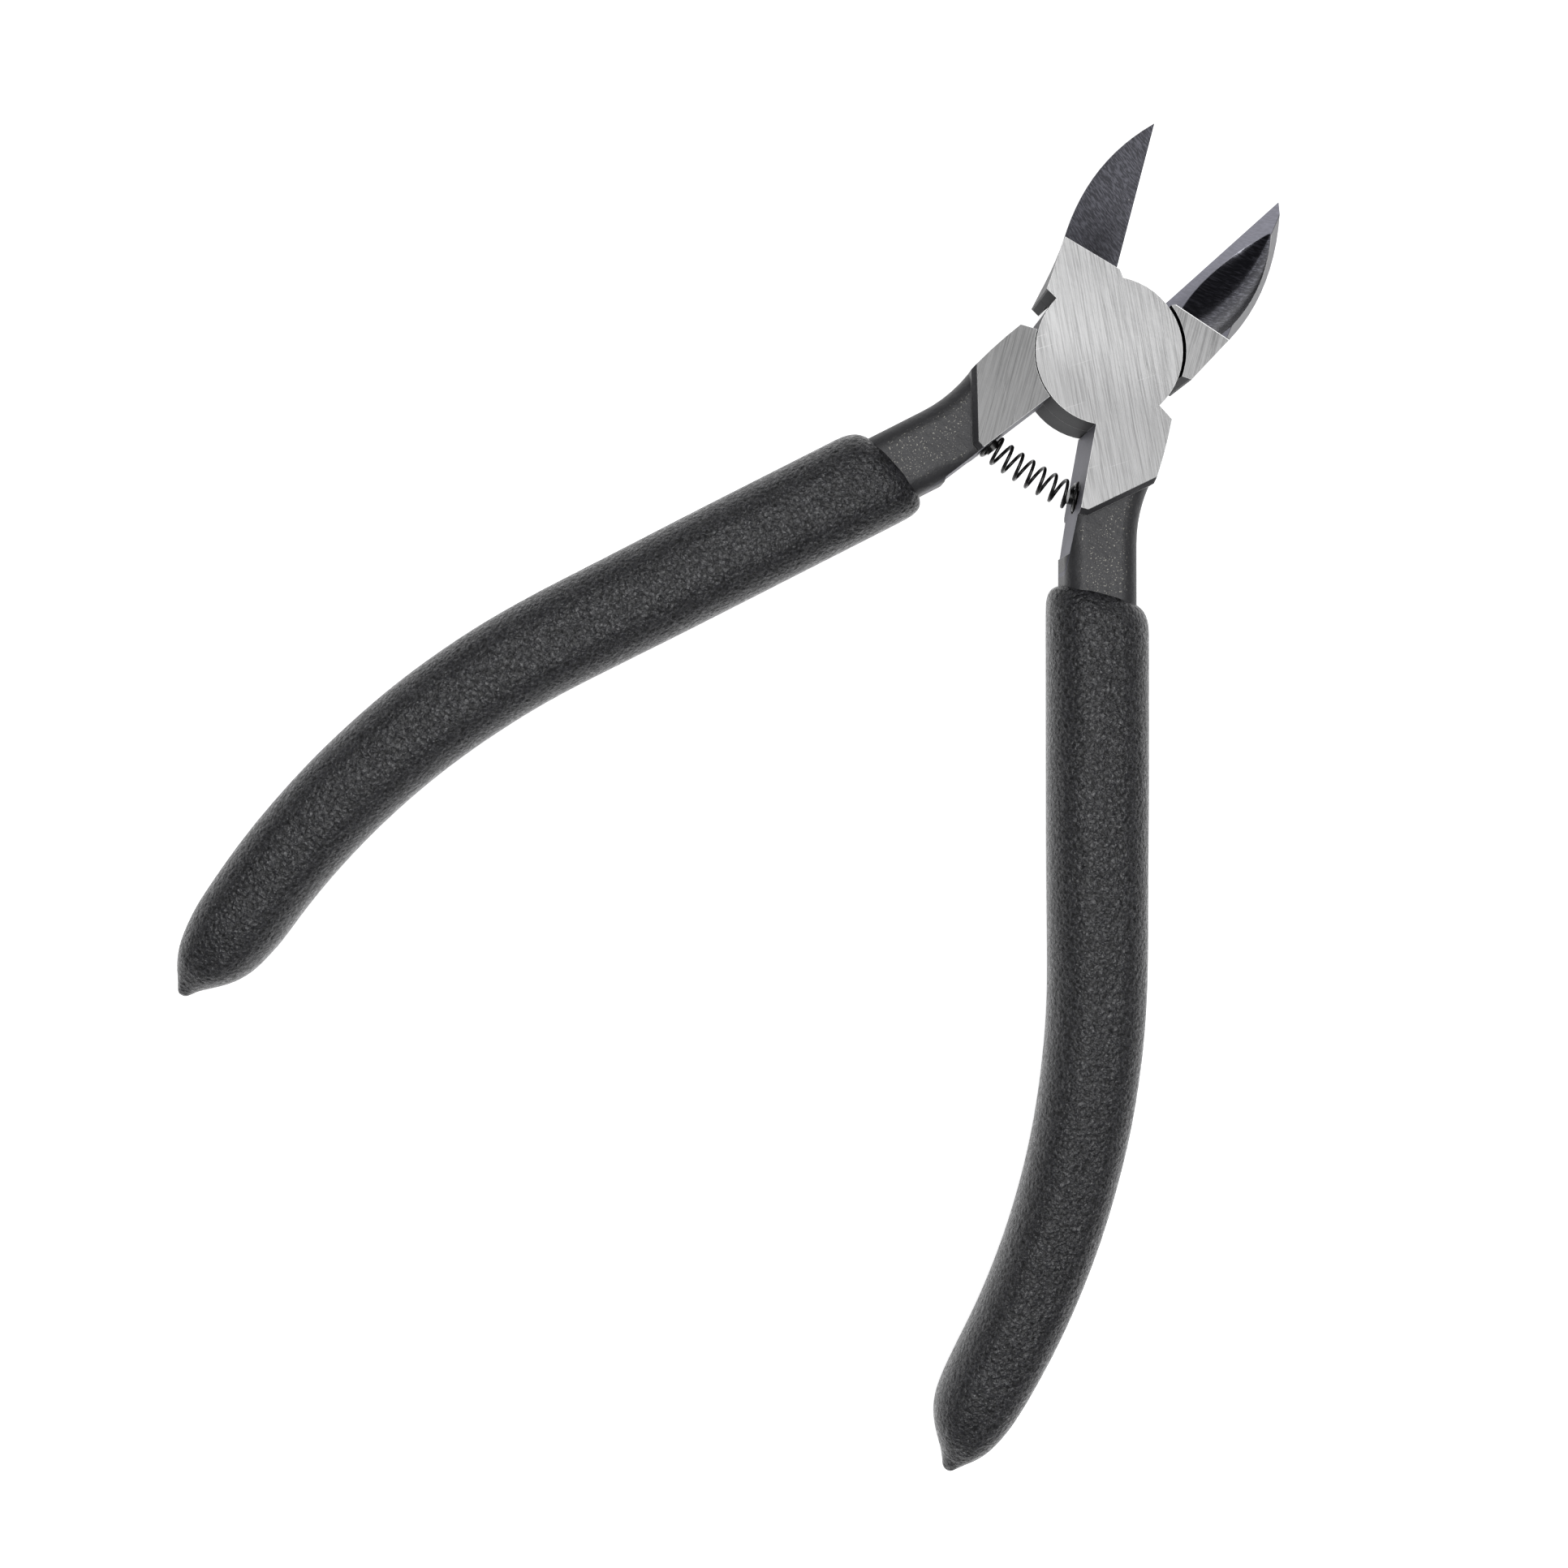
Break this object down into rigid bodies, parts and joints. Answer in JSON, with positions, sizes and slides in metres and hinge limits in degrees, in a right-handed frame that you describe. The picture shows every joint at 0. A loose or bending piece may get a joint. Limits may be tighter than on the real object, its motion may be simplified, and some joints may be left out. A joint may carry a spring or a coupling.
{
  "type": "flush cutter",
  "caption": "Small lap-joint flush cutter: two forged levers on a flush rivet, pointed jaws, coil return spring and dipped grips.",
  "frame": {"origin": "on the pivot axis at the rear ground face of the joint", "axes": "+Z along the pivot axis towards the front ground face; +Y from the pivot towards the jaw tips, along the middle of the open jaws; +X to the right"},
  "size_m": [0.0978, 0.1276, 0.0088],
  "materials": {
    "front_lever_steel": "ground faces, blackened raw forging",
    "rear_lever_steel": "ground faces, blackened raw forging",
    "rivet_steel": "ground flush",
    "pin_steel": "blackened",
    "spring_wire": "black oiled music wire",
    "grip_vinyl": "dipped vinyl, fine leather-like grain"
  },
  "bodies": {
    "front_half": {"front_lever": "front_lever_steel", "pivot_rivet": "rivet_steel", "front_spring_pin": "pin_steel", "return_spring": "spring_wire", "front_grip": "grip_vinyl"},
    "rear_half": {"rear_lever": "rear_lever_steel", "rear_spring_pin": "pin_steel", "rear_grip": "grip_vinyl"}
  },
  "joints": [
    {"name": "lever_pivot", "type": "hinge", "parent": "front_half", "child": "rear_half", "pos_m": [0, 0, 0.0044], "axis": [0, 0, 1], "range_deg": [-27.5, 33.8], "stiffness_Nm_per_rad": 0.11, "deforming": ["return_spring"]}
  ]
}
